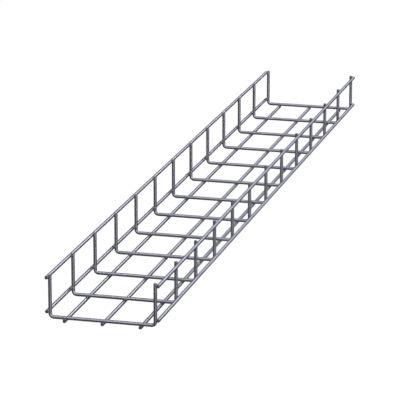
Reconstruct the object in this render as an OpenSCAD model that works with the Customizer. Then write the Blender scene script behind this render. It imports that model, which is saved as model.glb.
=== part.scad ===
// Straight length of welded wire mesh cable basket.
// Bent cross wires stand at an even pitch along Y. Seven straight long wires are
// welded to their outer side: two top rails, two low side wires, three floor wires.
// The origin is at the middle of the floor, on the surface the basket stands on.

/* [Wires] */
// Diameter of the bent cross wires
cross_wire_d = 4.8; // [3.5:0.1:6]
// Diameter of the straight long wires
long_wire_d = 4.8; // [3.5:0.1:6]
// Depth that a long wire sinks into a cross wire at each weld
weld_sink = 0.65; // [0.1:0.05:0.8]

/* [Trough] */
// Clear width between the uprights of a cross wire
trough_width = 137; // [90:1:600]
// Clear depth from the floor run of a cross wire up to its tips
trough_depth = 54; // [40:1:105]
// Inner radius of the two bends in a cross wire
bend_inner_r = 2.5; // [1:0.5:8]

/* [Length] */
// Number of cross wires
cross_wire_count = 13; // [2:1:31]
// Distance between neighbouring cross wires
cross_pitch = 100; // [50:5:200]
// Length of long wire past the centre of the first and last cross wires
end_overhang = 2.6; // [2.6:0.2:50]

/* [Long wire places] */
// Height of the cross wires' tips above the top rails
tip_stand = 0.8; // [0.5:0.1:5]
// Height of the low side wires' centres above the ends of the bends
side_wire_rise = 2.2; // [1.5:0.1:12]
// Distance between neighbouring floor wires
floor_wire_pitch = 51.3; // [20:0.1:55]

/* [Hidden] */
$fn = 48;

cross_r = cross_wire_d / 2;
long_r = long_wire_d / 2;

// Distance between the centre lines of two wires that are welded together
weld_offset = cross_r + long_r - weld_sink;

// Centre line of a cross wire
bend_r = bend_inner_r + cross_r;
upright_x = trough_width / 2 + cross_r;
floor_run_z = long_r + weld_offset;
bend_top_z = floor_run_z + bend_r;
tip_z = floor_run_z + cross_r + trough_depth;

// Centre lines of the long wires
rail_x = upright_x + weld_offset;
rail_z = tip_z - tip_stand - long_r;
side_wire_z = bend_top_z + side_wire_rise;
floor_wire_z = long_r;

first_cross_y = -(cross_wire_count - 1) * cross_pitch / 2;
long_wire_length = (cross_wire_count - 1) * cross_pitch + 2 * end_overhang;

// Name and centre line, in X and Z, of each long wire
LONG_WIRES = [
    ["top_rail_left", -rail_x, rail_z],
    ["top_rail_right", rail_x, rail_z],
    ["side_wire_left", -rail_x, side_wire_z],
    ["side_wire_right", rail_x, side_wire_z],
    ["floor_wire_left", -floor_wire_pitch, floor_wire_z],
    ["floor_wire_centre", 0, floor_wire_z],
    ["floor_wire_right", floor_wire_pitch, floor_wire_z],
];

function cross_wire_name(i) = str("u_wire_", i < 10 ? "0" : "", i);

// One straight wire along Y, centred on the middle of the basket
module long_wire(x, z) {
    color("lightsteelblue")
        translate([x, -long_wire_length / 2, z])
            rotate([-90, 0, 0])
                cylinder(d = long_wire_d, h = long_wire_length);
}

// Quarter turn from the floor run up into an upright, on the +X side
module bend() {
    translate([upright_x - bend_r, 0, bend_top_z])
        rotate([90, 0, 0])
            rotate([0, 0, -90])
                rotate_extrude(angle = 90)
                    translate([bend_r, 0])
                        circle(d = cross_wire_d);
}

// Straight leg from the end of the bend up to the cut tip, on the +X side
module upright() {
    translate([upright_x, 0, bend_top_z])
        cylinder(d = cross_wire_d, h = tip_z - bend_top_z);
}

// Straight run across the floor, from bend to bend
module floor_run() {
    run = 2 * (upright_x - bend_r);
    translate([-run / 2, 0, floor_run_z])
        rotate([0, 90, 0])
            cylinder(d = cross_wire_d, h = run);
}

// One cross wire bent to a U, with a seat pressed in at each weld
module u_wire(i) {
    color("slategray")
        difference() {
            translate([0, first_cross_y + (i - 1) * cross_pitch, 0])
                union() {
                    floor_run();
                    for (side = [0, 1])
                        mirror([side, 0, 0]) {
                            bend();
                            upright();
                        }
                }
            for (wire = LONG_WIRES)
                long_wire(wire[1], wire[2]);
        }
}

for (i = [1 : cross_wire_count])
    u_wire(i);
for (wire = LONG_WIRES)
    long_wire(wire[1], wire[2]);
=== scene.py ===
"""Looks of a straight length of welded wire cable basket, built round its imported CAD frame.

Each CAD wire is shown by a finer wire of the same size: drawn round, flattened a little where it
is bent and where the welding electrodes pressed it, sheared at its ends, and joined to the wires
that it crosses by a ring of weld flash. Lengths are in metres, angles in degrees.
"""
import math
import random

import bpy
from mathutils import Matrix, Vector


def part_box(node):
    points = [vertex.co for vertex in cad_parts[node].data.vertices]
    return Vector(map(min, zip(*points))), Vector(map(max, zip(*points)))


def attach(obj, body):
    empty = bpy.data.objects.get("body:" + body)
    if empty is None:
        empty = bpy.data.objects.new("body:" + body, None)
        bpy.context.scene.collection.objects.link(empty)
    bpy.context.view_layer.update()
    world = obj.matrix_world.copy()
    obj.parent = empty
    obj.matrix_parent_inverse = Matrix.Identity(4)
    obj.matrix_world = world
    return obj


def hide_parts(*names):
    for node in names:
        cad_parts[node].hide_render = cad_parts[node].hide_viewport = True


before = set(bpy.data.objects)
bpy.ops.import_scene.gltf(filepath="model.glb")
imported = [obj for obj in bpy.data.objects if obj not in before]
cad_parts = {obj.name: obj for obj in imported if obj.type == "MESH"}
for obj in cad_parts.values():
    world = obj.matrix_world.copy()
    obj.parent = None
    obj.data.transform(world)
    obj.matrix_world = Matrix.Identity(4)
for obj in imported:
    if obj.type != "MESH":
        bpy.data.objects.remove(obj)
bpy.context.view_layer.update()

MM = 0.001
SAME_PLACE = 1.0 * MM
Y_AXIS = Vector((0, 1, 0))
Z_AXIS = Vector((0, 0, 1))

# Wires
BEND_INNER_R = 2.5 * MM
SIDES = 32
STRAIGHT_STEP = 8 * MM
BEND_STEPS = 14
BEND_FLATTENING = 0.03

# Sheared ends: a rolled rim, marked as cut, round a middle that is marked less
RIM_R = 0.4 * MM
RIM_STEPS = 4
CUT_MARK_LENGTH = 1.2 * MM
CUT_MIDDLE_REACH = 0.5
CUT_MIDDLE_MARK = 0.45

# Each wire is cut from its own place in a coil this long, so that no two have the same die marks
COIL_LENGTH = 100.0

# Flats that the welding electrodes press into the wires, opposite each weld
PRESS_DEPTH = 0.13 * MM
PRESS_HALF_LENGTH = 2.0 * MM
PRESS_FADE = 1.4 * MM
PRESS_STATIONS = (0.0, 1.0 * MM, 2.0 * MM, 2.7 * MM, 3.4 * MM)
PRESS_CLEARANCE = 1.0 * MM
END_CLEARANCE = 0.5 * MM

# Weld flash: an uneven cushion between the two wires of each weld
FLASH_REACH = 2.3 * MM
FLASH_SIZES = (0.94, 1.06)
FLASH_HALF_HEIGHT = 0.42 * MM
FLASH_SIDES = 36
FLASH_STEPS = 6
FLASH_LOBES = ((2, 0.05), (3, 0.03), (7, 0.015))

# How far from the middle of its weld a wire's zinc is marked
WELD_MARK_REACH = 6.5 * MM

# Where the random draws start, so that each run gives the same basket
SEED = 5

# Zinc coat: colours, then the sizes and strengths of its patterns
ZINC_BRIGHT = (0.424, 0.426, 0.497, 1)
ZINC_DULL = (0.376, 0.378, 0.442, 1)
ZINC_WELD = (0.325, 0.327, 0.388, 1)
ZINC_EDGE = (0.28, 0.29, 0.38, 1)
ZINC_CUT = (0.168, 0.169, 0.208, 1)
CLOUD_SCALE = 90.0
CLOUD_EDGES = (0.35, 0.65)
GRAIN_SCALE = 1500.0
GRAIN_EDGES = (0.3, 0.7)
GRAIN_IN_WELD = (0.5, 1.0)
DIE_MARK_STRETCH = 0.02
DIE_MARK_SCALE = 1800.0
DIE_MARK_ROUGHNESS = 0.6
DIE_MARK_EDGES = (0.3, 0.7)
DIE_MARK_SHADE = 0.35
WELD_SHADE = 0.5
CUT_SHADE = 0.8
ROUGH_DULL = 0.45
ROUGH_BRIGHT = 0.38
ROUGH_DIE_MARKS = 0.06
ROUGH_WELD = 0.08
BUMP_HEIGHT = 0.02 * MM
BUMP_STRENGTH = 0.5
BUMP_DIE_MARKS = 0.8
BUMP_GRAIN = 0.15
BUMP_WELD = 2.5

# Camera
LOOK_AT = Vector((-0.0261, -0.0143, 0.0078))
CAMERA_DISTANCE = 4.244
CAMERA_AZIMUTH = 14.945
CAMERA_ELEVATION = 15.725
SENSOR_WIDTH = 36.0
LENS = 257.21
FARTHEST_SEEN = 100.0

# Studio. The floor looks white to the camera by its glow. The metal sees little of that glow,
# because the wires in the photo are dark along their lower edges.
WHITE = (1.0, 1.0, 1.0, 1.0)
SKY_LEVEL = 0.22
FLOOR_SIZE = 16.0
FLOOR_COLOUR = (0.04, 0.04, 0.04, 1.0)
FLOOR_ROUGHNESS = 0.9
FLOOR_GLOW = 0.97
FLOOR_IN_METAL = 0.05

# Lamps, as seen from the basket: azimuth from -Y towards +X, elevation, strength, width.
# They are so far away that only their direction counts.
LAMP_DISTANCE = 3.0
KEY = (-38, 48, 0.60, 40)
TOP = (20, 62, 0.82, 40)
BACK = (150, 43, 1.18, 30)
RIM = (165, 24, 0.45, 30)
FILL = (46, 6, 1.80, 30)


# ---------------------------------------------------------------- places from the frame

def named(prefix):
    """The CAD nodes whose names start with prefix, in order."""
    return sorted(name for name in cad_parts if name.startswith(prefix))


class LongWire:
    """A straight wire along Y."""

    def __init__(self, node):
        low, high = (Vector(corner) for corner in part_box(node))
        self.node = node
        self.radius = (high.x - low.x) / 2
        self.x = (low.x + high.x) / 2
        self.z = (low.z + high.z) / 2
        self.y_ends = (low.y, high.y)


class CrossWire:
    """A wire bent to a U: down its left leg, across the floor and up its right leg."""

    def __init__(self, node):
        low, high = (Vector(corner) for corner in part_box(node))
        self.node = node
        self.radius = (high.y - low.y) / 2
        self.y = (low.y + high.y) / 2
        self.x_legs = (low.x + self.radius, high.x - self.radius)
        self.floor_z = low.z + self.radius
        self.tip_z = high.z
        self.bend_r = BEND_INNER_R + self.radius
        self.bend_z = self.floor_z + self.bend_r

    def weld_to(self, wire):
        """The points of both centre lines at the weld, this wire's first."""
        if abs(wire.x) < self.x_legs[1] - self.bend_r:
            own = Vector((wire.x, self.y, self.floor_z))
        else:
            own = Vector((self.x_legs[0] if wire.x < 0 else self.x_legs[1], self.y, wire.z))
        return own, Vector((wire.x, self.y, wire.z))


cross_wires = [CrossWire(node) for node in named("u_wire_")]
long_nodes = named("top_rail_") + named("side_wire_") + named("floor_wire_")
long_wires = [LongWire(node) for node in long_nodes]


# ---------------------------------------------------------------- surfaces

class Skin:
    """A surface being made from rounds of points, with the marks that its material reads.

    along, sideways and upward are a point's place in the wire before it was bent, cut is 1 on a
    sheared end, and weld is 1 at a weld."""

    def __init__(self):
        self.points = []
        self.faces = []
        self.marks = {"along": [], "sideways": [], "upward": [], "cut": [], "weld": []}

    def add_round(self, points, **marks):
        """Add a closed round of points. A mark is one value, or one value for each point."""
        first = len(self.points)
        self.points += points
        for label, values in self.marks.items():
            value = marks.get(label, 0.0)
            values += value if isinstance(value, list) else [value] * len(points)
        return first

    def bridge(self, first, second, count):
        """Join two rounds of count points by their first points."""
        for k in range(count):
            n = (k + 1) % count
            self.faces.append((first + k, first + n, second + n, second + k))

    def cap(self, first, count, flip):
        """Close a round with one flat face."""
        face = tuple(range(first, first + count))
        self.faces.append(tuple(reversed(face)) if flip else face)

    def piece(self, name, material):
        """The finished object, smooth but for its flat caps."""
        mesh = bpy.data.meshes.new(name)
        mesh.from_pydata([tuple(point) for point in self.points], [], self.faces)
        for label, values in self.marks.items():
            layer = mesh.attributes.new(label, "FLOAT", "POINT")
            layer.data.foreach_set("value", values)
        mesh.polygons.foreach_set("use_smooth", [len(face) == 4 for face in self.faces])
        mesh.materials.append(material)
        piece = bpy.data.objects.new(name, mesh)
        bpy.context.collection.objects.link(piece)
        return piece


# ---------------------------------------------------------------- wires

class Station:
    """A place on a wire's centre line. flat is how far the wire is flattened there."""

    def __init__(self, centre, direction, flat=0.0):
        self.centre = centre
        self.direction = direction
        self.flat = flat


def straight(start, end, welds):
    """Stations from start to end, closer together round each weld."""
    direction = (end - start).normalized()
    length = (end - start).length
    count = math.ceil(length / STRAIGHT_STEP)
    places = [length * i / count for i in range(count + 1)]
    for weld in welds:
        middle = (weld - start).dot(direction)
        near = [middle + sign * offset for offset in PRESS_STATIONS for sign in (-1, 1)]
        room = PRESS_STATIONS[-1] + PRESS_CLEARANCE
        places = [p for p in places if p in (0.0, length) or abs(p - middle) > room]
        places += [p for p in near if END_CLEARANCE < p < length - END_CLEARANCE]
    return [Station(start + direction * place, direction) for place in sorted(set(places))]


def bend(wire, side):
    """Stations round one bend of a cross wire, without its two ends. side is -1 for the left."""
    leg = wire.x_legs[0] if side < 0 else wire.x_legs[1]
    centre = Vector((leg - side * wire.bend_r, wire.y, wire.bend_z))
    made = []
    for i in range(1, BEND_STEPS):
        share = i / BEND_STEPS
        turn = math.pi / 2 * (share if side > 0 else 1 - share)
        outward = Vector((side * math.sin(turn), 0, -math.cos(turn)))
        direction = Vector((math.cos(turn), 0, side * math.sin(turn)))
        flat = BEND_FLATTENING * math.sin(math.pi * share)
        made.append(Station(centre + outward * wire.bend_r, direction, flat))
    return made


def fade(distance, reach):
    """1 at distance 0, falling smoothly to 0 at reach."""
    t = min(max(1 - distance / reach, 0.0), 1.0)
    return t * t * (3 - 2 * t)


def pressed(point, station, radius, presses):
    """The point, moved in where an electrode pressed the wire flat."""
    for middle, outward in presses:
        off = abs((station.centre - middle).dot(station.direction))
        depth = PRESS_DEPTH * fade(off - PRESS_HALF_LENGTH, PRESS_FADE)
        height = (point - station.centre).dot(outward)
        point = point - outward * max(height - (radius - depth), 0.0)
    return point


class WireSkin(Skin):
    """The surface of a wire through stations, which all lie square to binormal.

    presses are the flats: (place on the centre line, direction out through the flat)."""

    def __init__(self, stations, binormal, radius, presses, rng):
        super().__init__()
        self.binormal = binormal
        self.radius = radius
        self.presses = presses
        self.turns = [2 * math.pi * k / SIDES for k in range(SIDES)]
        self.drawn_before = rng.uniform(0, COIL_LENGTH)
        self.length = sum((b.centre - a.centre).length for a, b in zip(stations, stations[1:]))
        self.rounds = []
        self.lay_end(stations[0], 0.0, 1)
        place = 0.0
        for last, station in zip(stations[:-1], stations[1:-1]):
            place += (station.centre - last.centre).length
            self.lay(station, place)
        self.lay_end(stations[-1], self.length, -1)
        self.join()

    def plain_round(self, station, slim):
        """The points round a station before it is pressed, with slim taken off the radius."""
        across = self.binormal.cross(station.direction).normalized()
        narrow = (self.radius - slim) * (1 - station.flat)
        wide = (self.radius - slim) * (1 + station.flat)
        points = []
        for turn in self.turns:
            point = station.centre + across * (narrow * math.cos(turn))
            points.append(point + self.binormal * (wide * math.sin(turn)))
        return points

    def weld_mark(self, point, presses):
        """How much the zinc is marked at a point by the nearest weld."""
        distances = [(point - middle).length for middle, outward in presses]
        nearest = min(distances + [WELD_MARK_REACH])
        return fade(nearest - self.radius, WELD_MARK_REACH - self.radius)

    def lay(self, station, place, slim=0.0, shift=0.0, cut=1.0):
        """Lay one round. slim is taken off the radius, and shift moves it along the wire."""
        reach = self.radius + WELD_MARK_REACH
        near = [press for press in self.presses if (press[0] - station.centre).length < reach]
        points = self.plain_round(station, slim)
        to_end = min(place + shift, self.length - place - shift)
        marks = {
            "along": self.drawn_before + place + shift,
            "sideways": [self.radius * math.cos(turn) for turn in self.turns],
            "upward": [self.radius * math.sin(turn) for turn in self.turns],
            "cut": cut * fade(to_end, CUT_MARK_LENGTH),
            "weld": [self.weld_mark(point, near) for point in points],
        }
        points = [pressed(point, station, self.radius, near) for point in points]
        points = [point + station.direction * shift for point in points]
        self.rounds.append(self.add_round(points, **marks))

    def lay_end(self, station, place, sign):
        """Lay a sheared end: the middle of the cut face, then the rolled rim round it."""
        rim = [(self.radius * (1 - CUT_MIDDLE_REACH), 0.0, CUT_MIDDLE_MARK)]
        for step in range(RIM_STEPS + 1):
            turn = math.pi / 2 * step / RIM_STEPS
            rim.append((RIM_R * (1 - math.sin(turn)), RIM_R * (1 - math.cos(turn)), 1.0))
        for slim, inset, cut in (rim if sign > 0 else reversed(rim)):
            self.lay(station, place, slim, sign * inset, cut)

    def join(self):
        for first, second in zip(self.rounds, self.rounds[1:]):
            self.bridge(first, second, SIDES)
        self.cap(self.rounds[0], SIDES, True)
        self.cap(self.rounds[-1], SIDES, False)


def add_flash(skin, own, other, rng):
    """Weld flash squeezed out between two wires: an uneven cushion across the line of contact."""
    normal = (other - own).normalized()
    side = Y_AXIS.cross(normal)
    middle = (own + other) / 2
    phases = [rng.uniform(0, 2 * math.pi) for lobe in FLASH_LOBES]
    size = rng.uniform(*FLASH_SIZES)
    firsts = []
    for step in range(FLASH_STEPS + 1):
        rise = math.pi * (step / FLASH_STEPS - 0.5)
        points = []
        for k in range(FLASH_SIDES):
            turn = 2 * math.pi * k / FLASH_SIDES
            reach = FLASH_REACH * size
            for (lobe, depth), phase in zip(FLASH_LOBES, phases):
                reach *= 1 + depth * math.sin(lobe * turn + phase)
            reach -= FLASH_HALF_HEIGHT * (1 - math.cos(rise))
            outward = side * math.cos(turn) + Y_AXIS * math.sin(turn)
            points.append(middle + outward * reach + normal * (FLASH_HALF_HEIGHT * math.sin(rise)))
        firsts.append(skin.add_round(points, weld=1.0))
    for first, second in zip(firsts, firsts[1:]):
        skin.bridge(first, second, FLASH_SIDES)
    skin.cap(firsts[0], FLASH_SIDES, True)
    skin.cap(firsts[-1], FLASH_SIDES, False)


def draw_cross_wire(wire, rng):
    welds = [wire.weld_to(long_wire) for long_wire in long_wires]
    left, right = wire.x_legs
    tip_left, tip_right = (Vector((x, wire.y, wire.tip_z)) for x in wire.x_legs)
    leg_left, leg_right = (Vector((x, wire.y, wire.bend_z)) for x in wire.x_legs)
    run_left = Vector((left + wire.bend_r, wire.y, wire.floor_z))
    run_right = Vector((right - wire.bend_r, wire.y, wire.floor_z))
    own = [mine for mine, other in welds]
    on_left = [place for place in own if abs(place.x - left) < SAME_PLACE]
    on_right = [place for place in own if abs(place.x - right) < SAME_PLACE]
    on_floor = [place for place in own if abs(place.z - wire.floor_z) < SAME_PLACE]
    stations = straight(tip_left, leg_left, on_left)
    stations += bend(wire, -1)
    stations += straight(run_left, run_right, on_floor)
    stations += bend(wire, 1)
    stations += straight(leg_right, tip_right, on_right)
    presses = [(mine, (mine - other).normalized()) for mine, other in welds]
    skin = WireSkin(stations, -Y_AXIS, wire.radius, presses, rng)
    for mine, other in welds:
        add_flash(skin, mine, other, rng)
    return skin


def draw_long_wire(wire, rng):
    welds = [cross_wire.weld_to(wire) for cross_wire in cross_wires]
    start, end = (Vector((wire.x, y, wire.z)) for y in wire.y_ends)
    stations = straight(start, end, [other for own, other in welds])
    presses = [(other, (other - own).normalized()) for own, other in welds]
    return WireSkin(stations, Z_AXIS, wire.radius, presses, rng)


# ---------------------------------------------------------------- material

class Shading:
    """Adds nodes to one material."""

    def __init__(self, name):
        self.material = bpy.data.materials.new(name)
        self.material.use_nodes = True
        self.nodes = self.material.node_tree.nodes
        self.links = self.material.node_tree.links
        self.shader = self.nodes["Principled BSDF"]

    def put(self, socket, value):
        if isinstance(value, bpy.types.NodeSocket):
            self.links.new(value, socket)
        else:
            socket.default_value = value

    def mark(self, label):
        node = self.nodes.new("ShaderNodeAttribute")
        node.attribute_name = label
        return node.outputs["Fac"]

    def math(self, operation, a, b=0.0, clamp=False):
        node = self.nodes.new("ShaderNodeMath")
        node.operation = operation
        node.use_clamp = clamp
        self.put(node.inputs[0], a)
        self.put(node.inputs[1], b)
        return node.outputs[0]

    def place(self):
        return self.nodes.new("ShaderNodeTexCoord").outputs["Object"]

    def vector(self, x, y, z):
        node = self.nodes.new("ShaderNodeCombineXYZ")
        for socket, value in zip(node.inputs, (x, y, z)):
            self.put(socket, value)
        return node.outputs[0]

    def noise(self, vector, scale, detail, roughness=0.5):
        node = self.nodes.new("ShaderNodeTexNoise")
        self.put(node.inputs["Vector"], vector)
        node.inputs["Scale"].default_value = scale
        node.inputs["Detail"].default_value = detail
        node.inputs["Roughness"].default_value = roughness
        return node.outputs["Fac"]

    def spread(self, value, edges, results=(0.0, 1.0)):
        """A smooth step from the first result to the second, between the two edges."""
        node = self.nodes.new("ShaderNodeMapRange")
        node.interpolation_type = "SMOOTHSTEP"
        self.put(node.inputs["Value"], value)
        for label, number in zip(("From Min", "From Max", "To Min", "To Max"), edges + results):
            node.inputs[label].default_value = number
        return node.outputs["Result"]

    def blend(self, share, first, second):
        node = self.nodes.new("ShaderNodeMix")
        node.data_type = "RGBA"
        self.put(node.inputs["Factor"], share)
        self.put(node.inputs["A"], first)
        self.put(node.inputs["B"], second)
        return node.outputs["Result"]

    def bump(self, height, distance, strength):
        node = self.nodes.new("ShaderNodeBump")
        node.inputs["Strength"].default_value = strength
        node.inputs["Distance"].default_value = distance
        self.links.new(height, node.inputs["Height"])
        return node.outputs["Normal"]


def zinc_colour(m, clouds, die_marks, weld, cut):
    colour = m.blend(clouds, ZINC_DULL, ZINC_BRIGHT)
    colour = m.blend(m.math("MULTIPLY", die_marks, DIE_MARK_SHADE), colour, ZINC_DULL)
    colour = m.blend(m.math("MULTIPLY", weld, WELD_SHADE), colour, ZINC_WELD)
    return m.blend(m.math("MULTIPLY", cut, CUT_SHADE), colour, ZINC_CUT)


def zinc_roughness(m, clouds, die_marks, weld, cut):
    rough = m.spread(clouds, (0.0, 1.0), (ROUGH_DULL, ROUGH_BRIGHT))
    uneven = m.math("MULTIPLY", m.math("SUBTRACT", die_marks, 0.5), ROUGH_DIE_MARKS)
    coarse = m.math("MULTIPLY", m.math("MAXIMUM", weld, cut), ROUGH_WELD)
    rough = m.math("ADD", rough, uneven)
    return m.math("ADD", rough, coarse, clamp=True)


def zinc_relief(m, grain, die_marks, weld):
    lines = m.math("MULTIPLY", die_marks, BUMP_DIE_MARKS)
    pits = m.math("MULTIPLY", grain, BUMP_GRAIN)
    spatter = m.math("MULTIPLY", m.math("MULTIPLY", weld, grain), BUMP_WELD)
    height = m.math("ADD", m.math("ADD", lines, pits), spatter)
    return m.bump(height, BUMP_HEIGHT, BUMP_STRENGTH)


def zinc():
    """Bright zinc on drawn wire.

    The coat is a cool grey with cloudy patches and faint die marks that run along the wire. It is
    duller and rougher round the welds, and dark and rough on the sheared ends."""
    m = Shading("bright_zinc")
    clouds = m.spread(m.noise(m.place(), CLOUD_SCALE, 4.0), CLOUD_EDGES)
    grain = m.noise(m.place(), GRAIN_SCALE, 2.0)
    along = m.math("MULTIPLY", m.mark("along"), DIE_MARK_STRETCH)
    die_place = m.vector(along, m.mark("sideways"), m.mark("upward"))
    die_marks = m.noise(die_place, DIE_MARK_SCALE, 2.0, DIE_MARK_ROUGHNESS)
    die_marks = m.spread(die_marks, DIE_MARK_EDGES)
    weld = m.math("MULTIPLY", m.mark("weld"), m.spread(grain, GRAIN_EDGES, GRAIN_IN_WELD))
    cut = m.mark("cut")
    m.put(m.shader.inputs["Base Color"], zinc_colour(m, clouds, die_marks, weld, cut))
    m.put(m.shader.inputs["Roughness"], zinc_roughness(m, clouds, die_marks, weld, cut))
    m.put(m.shader.inputs["Normal"], zinc_relief(m, grain, die_marks, weld))
    m.shader.inputs["Metallic"].default_value = 1.0
    m.shader.inputs["Specular Tint"].default_value = ZINC_EDGE
    return m.material


# ---------------------------------------------------------------- studio

def sky():
    """A plain dim white sky all round."""
    world = bpy.data.worlds.new("studio_sky")
    bpy.context.scene.world = world
    world.use_nodes = True
    background = world.node_tree.nodes["Background"]
    background.inputs["Color"].default_value = WHITE
    background.inputs["Strength"].default_value = SKY_LEVEL


def floor():
    """A floor that the camera sees as white, with the basket's faint shadow on it."""
    half = FLOOR_SIZE / 2
    corners = [(-half, -half, 0), (half, -half, 0), (half, half, 0), (-half, half, 0)]
    mesh = bpy.data.meshes.new("studio_floor")
    mesh.from_pydata(corners, [], [(0, 1, 2, 3)])
    piece = bpy.data.objects.new("studio_floor", mesh)
    bpy.context.collection.objects.link(piece)
    m = Shading("white_floor")
    path = m.nodes.new("ShaderNodeLightPath")
    seen = m.math("MAXIMUM", path.outputs["Is Camera Ray"], path.outputs["Is Transmission Ray"])
    in_metal = m.math("MULTIPLY", path.outputs["Is Glossy Ray"], FLOOR_IN_METAL)
    glow = m.math("ADD", m.math("MULTIPLY", seen, FLOOR_GLOW), in_metal)
    m.shader.inputs["Base Color"].default_value = FLOOR_COLOUR
    m.shader.inputs["Roughness"].default_value = FLOOR_ROUGHNESS
    m.shader.inputs["Specular IOR Level"].default_value = 0.0
    m.shader.inputs["Emission Color"].default_value = WHITE
    m.put(m.shader.inputs["Emission Strength"], glow)
    mesh.materials.append(m.material)


def towards(azimuth, elevation):
    """The direction of an azimuth, turned from -Y towards +X, and an elevation."""
    a, e = math.radians(azimuth), math.radians(elevation)
    return Vector((math.sin(a) * math.cos(e), -math.cos(a) * math.cos(e), math.sin(e)))


def sun(name, azimuth, elevation, strength, width):
    """A soft lamp, width degrees across as seen from the basket."""
    data = bpy.data.lights.new(name, "SUN")
    data.energy = strength
    data.angle = math.radians(width)
    lamp = bpy.data.objects.new(name, data)
    bpy.context.collection.objects.link(lamp)
    lamp.location = towards(azimuth, elevation) * LAMP_DISTANCE
    lamp.rotation_euler = (-lamp.location).to_track_quat("-Z", "Y").to_euler()


def camera():
    """A long lens at the photo's place: in front, a little to the right, and above."""
    data = bpy.data.cameras.new("camera")
    data.sensor_width = SENSOR_WIDTH
    data.lens = LENS
    data.clip_end = FARTHEST_SEEN
    eye = bpy.data.objects.new("camera", data)
    bpy.context.collection.objects.link(eye)
    eye.location = LOOK_AT + towards(CAMERA_AZIMUTH, CAMERA_ELEVATION) * CAMERA_DISTANCE
    eye.rotation_euler = (math.radians(90 - CAMERA_ELEVATION), 0, math.radians(CAMERA_AZIMUTH))
    bpy.context.scene.camera = eye


# ---------------------------------------------------------------- the scene

camera()
rng = random.Random(SEED)
wire_zinc = zinc()
skins = [(wire.node, draw_cross_wire(wire, rng)) for wire in cross_wires]
skins += [(wire.node, draw_long_wire(wire, rng)) for wire in long_wires]
for node, skin in skins:
    piece = skin.piece(node + "_drawn", wire_zinc)
    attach(piece, "root")
    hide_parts(node)

sky()
floor()
sun("key", *KEY)
sun("top", *TOP)
sun("back", *BACK)
sun("rim", *RIM)
sun("fill", *FILL)
bpy.context.scene.view_settings.view_transform = "Standard"
